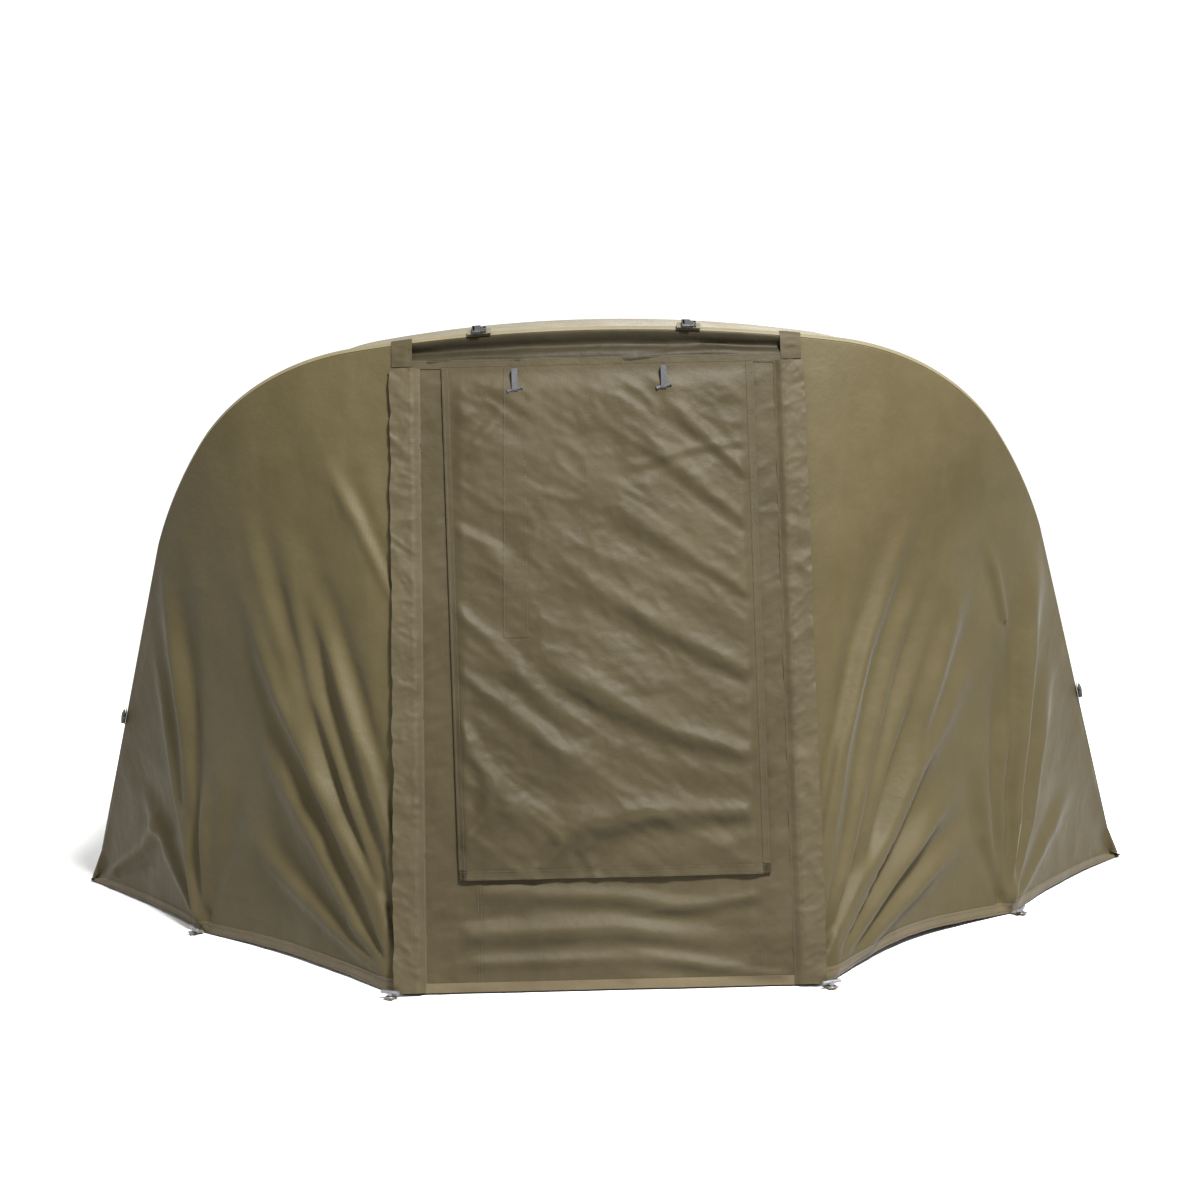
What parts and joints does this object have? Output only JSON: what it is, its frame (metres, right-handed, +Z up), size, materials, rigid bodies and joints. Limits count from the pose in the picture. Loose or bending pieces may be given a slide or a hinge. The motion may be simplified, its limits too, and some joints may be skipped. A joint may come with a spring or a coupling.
{
  "type": "folding fishing shelter",
  "caption": "Wide dome shelter for fishing: fabric over folding hoops that turn on two ground hubs, with a zipped door panel, a lift-up door flap, toggles and ground pegs.",
  "frame": {"origin": "on the ground, midway between the two hub feet", "axes": "+X to the right seen from the front, -Y is the front with the door, +Z up"},
  "size_m": [2.9586, 2.4655, 1.7646],
  "materials": {
    "wall_fabric": "olive drab coated polyester",
    "door_fabric": "olive drab coated polyester, a little browner",
    "roof_fabric": "olive drab coated polyester, greener",
    "webbing": "olive polypropylene webbing",
    "grey_webbing": "dark grey webbing",
    "black_plastic": "black moulded nylon",
    "hub_plastic": "black glass-filled nylon",
    "pole": "dark anodised aluminium tube",
    "bolt_steel": "plated steel",
    "zip_nylon": "nylon coil on woven tape",
    "peg_metal": "gunmetal"
  },
  "bodies": {
    "root": {"hub_foot_left": "hub_plastic", "hub_foot_right": "hub_plastic", "pivot_bolt_left": "bolt_steel", "pivot_bolt_right": "bolt_steel", "pivot_nut_left": "bolt_steel", "pivot_nut_right": "bolt_steel", "rear_wall_panel": "wall_fabric", "peg_loops_rear": "webbing"},
    "rear_hoop": {"rear_knuckle_left": "hub_plastic", "rear_knuckle_right": "hub_plastic", "rear_leg_pole_left": "pole", "rear_leg_pole_right": "pole", "rear_elbow_left": "hub_plastic", "rear_elbow_right": "hub_plastic", "rear_crown_pole": "pole"},
    "mid_hoop": {"mid_knuckle_left": "hub_plastic", "mid_knuckle_right": "hub_plastic", "mid_leg_pole_left": "pole", "mid_leg_pole_right": "pole", "mid_elbow_left": "hub_plastic", "mid_elbow_right": "hub_plastic", "mid_crown_pole": "pole", "rear_roof_panel": "roof_fabric"},
    "front_hoop": {"front_knuckle_left": "hub_plastic", "front_knuckle_right": "hub_plastic", "front_leg_pole_left": "pole", "front_leg_pole_right": "pole", "front_elbow_left": "hub_plastic", "front_elbow_right": "hub_plastic", "front_crown_pole": "pole", "front_roof_panel": "roof_fabric", "header_band": "door_fabric", "rim_tabs": "door_fabric", "zip_wing_tapes": "zip_nylon", "peg_loops_front": "webbing", "wing_panel_left": "wall_fabric", "wing_panel_right": "wall_fabric", "roof_strap_left": "webbing", "roof_strap_right": "webbing", "roof_buckle_left": "black_plastic", "roof_buckle_right": "black_plastic", "side_strap_left": "webbing", "side_strap_right": "webbing", "side_buckle_left": "black_plastic", "side_buckle_right": "black_plastic"},
    "door_panel": {"door_surround": "door_fabric", "zip_door_tapes": "zip_nylon", "zip_cover_left": "door_fabric", "zip_cover_right": "door_fabric"},
    "door_flap": {"door_flap": "door_fabric"},
    "toggle_left": {"toggle_loop_left": "grey_webbing", "toggle_bar_left": "black_plastic"},
    "toggle_right": {"toggle_loop_right": "grey_webbing", "toggle_bar_right": "black_plastic"},
    "zip_slider_left": {"zip_slider_left": "zip_nylon"},
    "zip_slider_right": {"zip_slider_right": "zip_nylon"},
    "pegs": {"ground_pegs": "peg_metal"}
  },
  "joints": [
    {"name": "hood_fold", "type": "hinge", "parent": "root", "child": "rear_hoop", "pos_m": [0, 0, 0.05], "axis": [1, 0, 0], "range_deg": [-38, 0], "deforming": ["rear_wall_panel", "rear_roof_panel", "front_roof_panel", "wing_panel_left", "wing_panel_right", "header_band", "rim_tabs", "zip_wing_tapes", "zip_door_tapes", "peg_loops_front", "door_surround", "door_flap", "zip_cover_left", "zip_cover_right"]},
    {"name": "mid_fold", "type": "hinge", "parent": "rear_hoop", "child": "mid_hoop", "pos_m": [0, 0, 0.05], "axis": [1, 0, 0], "range_deg": [-43.6, 0]},
    {"name": "front_fold", "type": "hinge", "parent": "mid_hoop", "child": "front_hoop", "pos_m": [0, 0, 0.05], "axis": [1, 0, 0], "range_deg": [-33.8, 0]},
    {"name": "door_lift", "type": "hinge", "parent": "front_hoop", "child": "door_panel", "pos_m": [0, -0.93505, 1.423], "axis": [-1, 0, 0], "range_deg": [0, 95], "deforming": ["zip_door_tapes"]},
    {"name": "flap_lift", "type": "hinge", "parent": "door_panel", "child": "door_flap", "pos_m": [0, -0.9426, 1.42], "axis": [-1, 0, 0], "range_deg": [0, 100]},
    {"name": "toggle_left_swing", "type": "hinge", "parent": "door_flap", "child": "toggle_left", "pos_m": [-0.19, -0.953, 1.4157], "axis": [-1, 0, 0], "range_deg": [0, 90]},
    {"name": "toggle_right_swing", "type": "hinge", "parent": "door_flap", "child": "toggle_right", "pos_m": [0.154, -0.954, 1.4157], "axis": [-1, 0, 0], "range_deg": [0, 90]},
    {"name": "zip_slide_left", "type": "slide", "parent": "front_hoop", "child": "zip_slider_left", "axis": [0.0059, 0.1623, 0.9867], "range_m": [0, 1.3]},
    {"name": "zip_slide_right", "type": "slide", "parent": "front_hoop", "child": "zip_slider_right", "axis": [-0.0059, 0.1623, 0.9867], "range_m": [0, 1.3]},
    {"name": "peg_pull", "type": "slide", "parent": "root", "child": "pegs", "axis": [0, 0, 1], "range_m": [0, 0.2]}
  ],
  "couplings": [
    {"joint": "mid_fold", "follows": "hood_fold", "ratio": 1.1447},
    {"joint": "front_fold", "follows": "hood_fold", "ratio": 0.88553}
  ]
}
